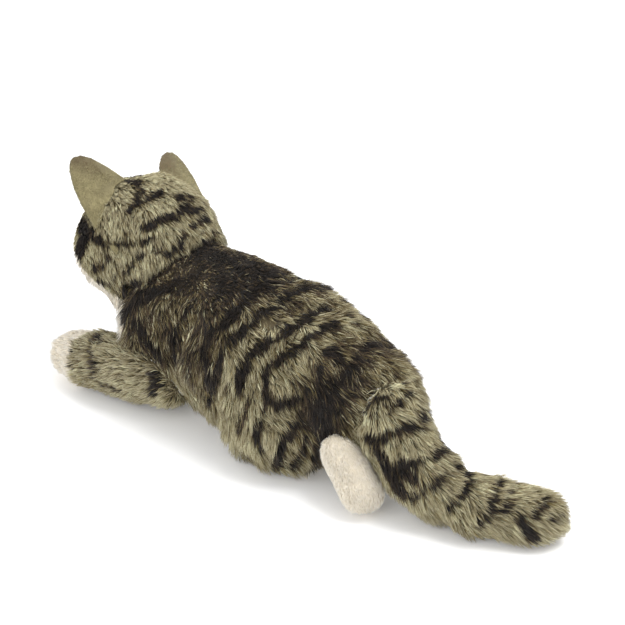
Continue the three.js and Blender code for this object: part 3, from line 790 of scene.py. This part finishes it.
def earKinds(points):  # browner towards the tip, speckled all over
    top = points[:, 2].max()
    tip = np.clip((points[:, 2] - top + 0.016) / 0.016, 0, 1) ** 2
    value = 0.75 * tip + 0.35 * wobble(points, 0.02, 91) + rng.normal(size=len(points)) * 0.35
    return np.digitize(-value, (-0.62, -0.12))


earLining = earFinish("ear_lining", "#cdb9a4", "#bda38f", "#94765f", 0.3)
for side in ("left", "right"):
    for part, finish, slotName in (("outer", earPile, "ear_pile"), ("lining", earLining, "ear_lining")):
        node = f"ear_{part}_{side}"
        bm = remeshed([node], earSizes["voxel"], earSizes["smoothing"])
        cloth = addObject(node + "_cloth", meshFrom(bm, node + "_cloth"))
        corners, _ = skinArrays(cloth)
        top = corners[:, 2].max()
        low = corners[:, 2].min()
        tipward = np.clip((corners[:, 2] - top + 0.3 * (top - low)) / (0.3 * (top - low)), 0, 1) ** 2
        layer = cloth.data.attributes.new("tipward", "FLOAT", "POINT")
        layer.data.foreach_set("value", tipward.astype(np.float32))
        cloth.data.materials.append(finish.material)
        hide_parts(node)
        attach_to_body(cloth, "ear_" + side)
        print("ear", node, len(cloth.data.polygons))
        if part == "outer":
            roots, normals = skinPoints(cloth, earSizes["density"], rng)
            flow = np.tile([0.3 if side == "left" else -0.3, -0.5, 1.0], (len(roots), 1))
            lengths = np.full(len(roots), earSizes["length"])
            growFur(f"ear_{side}_pile", "ear_" + side, roots, normals, flow, earSizes, lengths,
                    earKinds, earSpeckle, rng, shortHair)

# Eyes: glossy domes with a wide calm pupil.
eyeGlass = Finish("eye_glass")
ring = eyeGlass.attribute("ring")
streak = eyeGlass.noise(420, 3) * 0.12 - 0.06
pupil = (0.004, 0.004, 0.004)
rimStops = [(0.78, linear("#a5913b")), (0.9, linear("#3b3010")), (1, (0.01, 0.008, 0.006))]
iris = eyeGlass.ramp(ring + streak, [(0, pupil), (0.5, pupil), (0.56, linear("#6b5a1e")), *rimStops])
eyeGlass.link(iris, "Base Color")
eyeGlass.fixed(Roughness=0.06, Coat_Weight=1.0, Coat_Roughness=0.03)
headTurnMatrix = Matrix((headAcross, headBack, headUp)).transposed()
for side, spot in zip(("left", "right"), eyeSpots):
    bm = bmesh.new()
    bmesh.ops.create_uvsphere(bm, u_segments=40, v_segments=24, radius=1)
    bmesh.ops.rotate(bm, verts=bm.verts, cent=(0, 0, 0), matrix=Matrix.Rotation(math.pi / 2, 3, "X"))
    rings = [math.hypot(v.co.x, v.co.z) for v in bm.verts]
    size = (eyeShape["radius"] * millimetre, eyeShape["depth"] * millimetre, eyeShape["radius"] * millimetre)
    bmesh.ops.scale(bm, verts=bm.verts, vec=size)
    bmesh.ops.rotate(bm, verts=bm.verts, cent=(0, 0, 0), matrix=headTurnMatrix)
    bmesh.ops.translate(bm, verts=bm.verts, vec=Vector(spot) * millimetre)
    bmesh.ops.recalc_face_normals(bm, faces=bm.faces)
    mesh = meshFrom(bm, "eye_dome_" + side)
    layer = mesh.attributes.new("ring", "FLOAT", "POINT")
    layer.data.foreach_set("value", np.array(rings, np.float32))
    mesh.materials.append(eyeGlass.material)
    dome = addObject(mesh.name, mesh)
    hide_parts("eye_" + side)
    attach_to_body(dome, "head")
print("eyes")


# Nose: a rounded triangle of clipped pile.
noseShape = {"width": 15, "height": 10, "depth": 9, "narrowing": 0.45}
bm = bmesh.new()
bmesh.ops.create_icosphere(bm, subdivisions=5, radius=1)
for vert in bm.verts:
    vert.co.x *= 1 - noseShape["narrowing"] * (0.5 - vert.co.z / 2)
bmesh.ops.scale(bm, verts=bm.verts, vec=[noseShape[k] * 0.5 * millimetre for k in ("width", "depth", "height")])
bmesh.ops.rotate(bm, verts=bm.verts, cent=(0, 0, 0), matrix=headTurnMatrix)
bmesh.ops.translate(bm, verts=bm.verts, vec=Vector(noseSpot) * millimetre)
mesh = meshFrom(bm, "nose_pad")
noseFinish = Finish("nose_flock")
noseShades = [(0.35, linear("#9c6459")), (0.7, linear("#c08a7d"))]
noseFinish.link(noseFinish.ramp(noseFinish.noise(800, 3), noseShades), "Base Color")
noseFinish.bump(noseFinish.noise(2500, 2), 0.5, 0.0003)
noseFinish.fixed(Roughness=0.85)
mesh.materials.append(noseFinish.material)
nosePad = addObject("nose_pad", mesh)
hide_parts("nose")
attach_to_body(nosePad, "head")


# Mouth: embroidered down from the nose and out to each side, lying on the muzzle.
mouthShape = {
    "thread": 0.0006,
    "proud": 1.6,
    "lines": [
        [(0, -12.5), (0, -15), (0, -18)],
        [(0, -18), (4, -21), (8, -19.5)],
        [(0, -18), (-4, -21), (-8, -19.5)],
    ],
}
curve = bpy.data.curves.new("mouth_thread", "CURVE")
curve.dimensions = "3D"
curve.bevel_depth = mouthShape["thread"]
curve.bevel_resolution = 3
for line in mouthShape["lines"]:
    spline = curve.splines.new("NURBS")
    spline.points.add(len(line) - 1)
    spline.order_u = 3
    spline.use_endpoint_u = True
    for point, (right, up) in zip(spline.points, line):
        start = Vector(fromHead(right, -90, up)) * millimetre
        hit = skinTrees["head"].ray_cast(start, Vector(headBack))[0]
        point.co = (*(hit - Vector(headBack) * mouthShape["proud"] * millimetre), 1)
mouthFinish = Finish("mouth_thread")
mouthShades = [(0.35, linear("#33261f")), (0.65, linear("#54413a"))]
mouthFinish.link(mouthFinish.ramp(mouthFinish.noise(1500, 3), mouthShades), "Base Color")
mouthFinish.fixed(Roughness=0.8)
curve.materials.append(mouthFinish.material)
mouth = addObject("mouth_thread", curve)
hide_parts("mouth_stitch")
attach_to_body(mouth, "head")


# The nodes that stay: fillings, pouch, washers, stitching and whiskers.
def grainFinish(name, first, second, scale, roughness, strength):
    finish = Finish(name)
    finish.link(finish.ramp(finish.noise(scale, 3), [(0.35, linear(first)), (0.65, linear(second))]), "Base Color")
    finish.bump(finish.noise(scale * 2, 2), strength, 0.0005)
    finish.fixed(Roughness=roughness)
    return finish


keptFinishes = {
    "filling": grainFinish("fibre_filling", "#e2e0d8", "#f6f4ee", 250, 0.95, 0.8),
    "pouch": grainFinish("woven_pouch", "#cfc9ba", "#e0dbcd", 700, 0.9, 0.5),
    "washer": grainFinish("washer_plastic", "#dcdcd8", "#eaeae6", 400, 0.5, 0.1),
    "whisker": grainFinish("nylon_whisker", "#f7f6f2", "#ffffff", 600, 0.35, 0.1),
}
keptFinishes["whisker"].fixed(Alpha=0.4)
for name, node in nodes.items():
    for key, finish in keptFinishes.items():
        if key in name:
            node.data.materials.clear()
            node.data.materials.append(finish.material)
print("finishes")

# Camera, floor and light.
cameraSizes = {"azimuth": 133, "elevation": 29, "distance": 2.6, "span": 0.4375, "aside": 0.0033, "up": 0.0358}
azimuth, elevation = math.radians(cameraSizes["azimuth"]), math.radians(cameraSizes["elevation"])
level = math.cos(elevation)
towards = Vector((math.sin(azimuth) * level, -math.cos(azimuth) * level, math.sin(elevation)))
rightward = Vector((math.cos(azimuth), math.sin(azimuth), 0))
upwards = towards.cross(rightward)
target = Vector((0, 0, 0.06)) + rightward * cameraSizes["aside"] + upwards * cameraSizes["up"]
camera = bpy.data.objects.new("camera", bpy.data.cameras.new("camera"))
bpy.context.scene.collection.objects.link(camera)
camera.matrix_world = Matrix.Translation(target + towards * cameraSizes["distance"]) @ Matrix(
    (rightward, upwards, towards)).transposed().to_4x4()
camera.data.sensor_width = 36
camera.data.lens = 36 * cameraSizes["distance"] / cameraSizes["span"]
camera.data.clip_end = 50
bpy.context.scene.camera = camera
bpy.context.scene.view_settings.view_transform = "Standard"

glowingFloorFinish = Finish("pale_glowing_floor")
# the floor glows faintly: painted light that lifts the shadows cast on it
glowingFloorFinish.fixed(Base_Color=(0.96, 0.96, 0.96, 1), Roughness=0.9, Emission_Color=(1, 1, 1, 1), Emission_Strength=0.1)
bm = bmesh.new()
bmesh.ops.create_grid(bm, x_segments=1, y_segments=1, size=12)
floorMesh = bpy.data.meshes.new("floor")
bm.to_mesh(floorMesh)
bm.free()
floorMesh.materials.append(glowingFloorFinish.material)
floor = bpy.data.objects.new("floor", floorMesh)
bpy.context.scene.collection.objects.link(floor)

lights = {
    "key": {"place": (-0.5, 0.7, 1.7), "size": 1.0, "power": 25},
    "fill": {"place": (1.8, 0.2, 1.0), "size": 1.6, "power": 12},
    "back": {"place": (-0.6, -1.6, 1.4), "size": 1.4, "power": 10},
}
for name, values in lights.items():
    lamp = bpy.data.objects.new(name, bpy.data.lights.new(name, "AREA"))
    lamp.data.size = values["size"]
    lamp.data.energy = values["power"]
    lamp.location = values["place"]
    lamp.rotation_euler = (Vector((0, 0, 0.05)) - lamp.location).to_track_quat("-Z", "Y").to_euler()
    bpy.context.scene.collection.objects.link(lamp)
world = bpy.data.worlds.new("studio")
bpy.context.scene.world = world
world.use_nodes = True
world.node_tree.nodes["Background"].inputs[0].default_value = (1, 1, 1, 1)
world.node_tree.nodes["Background"].inputs[1].default_value = 0.85
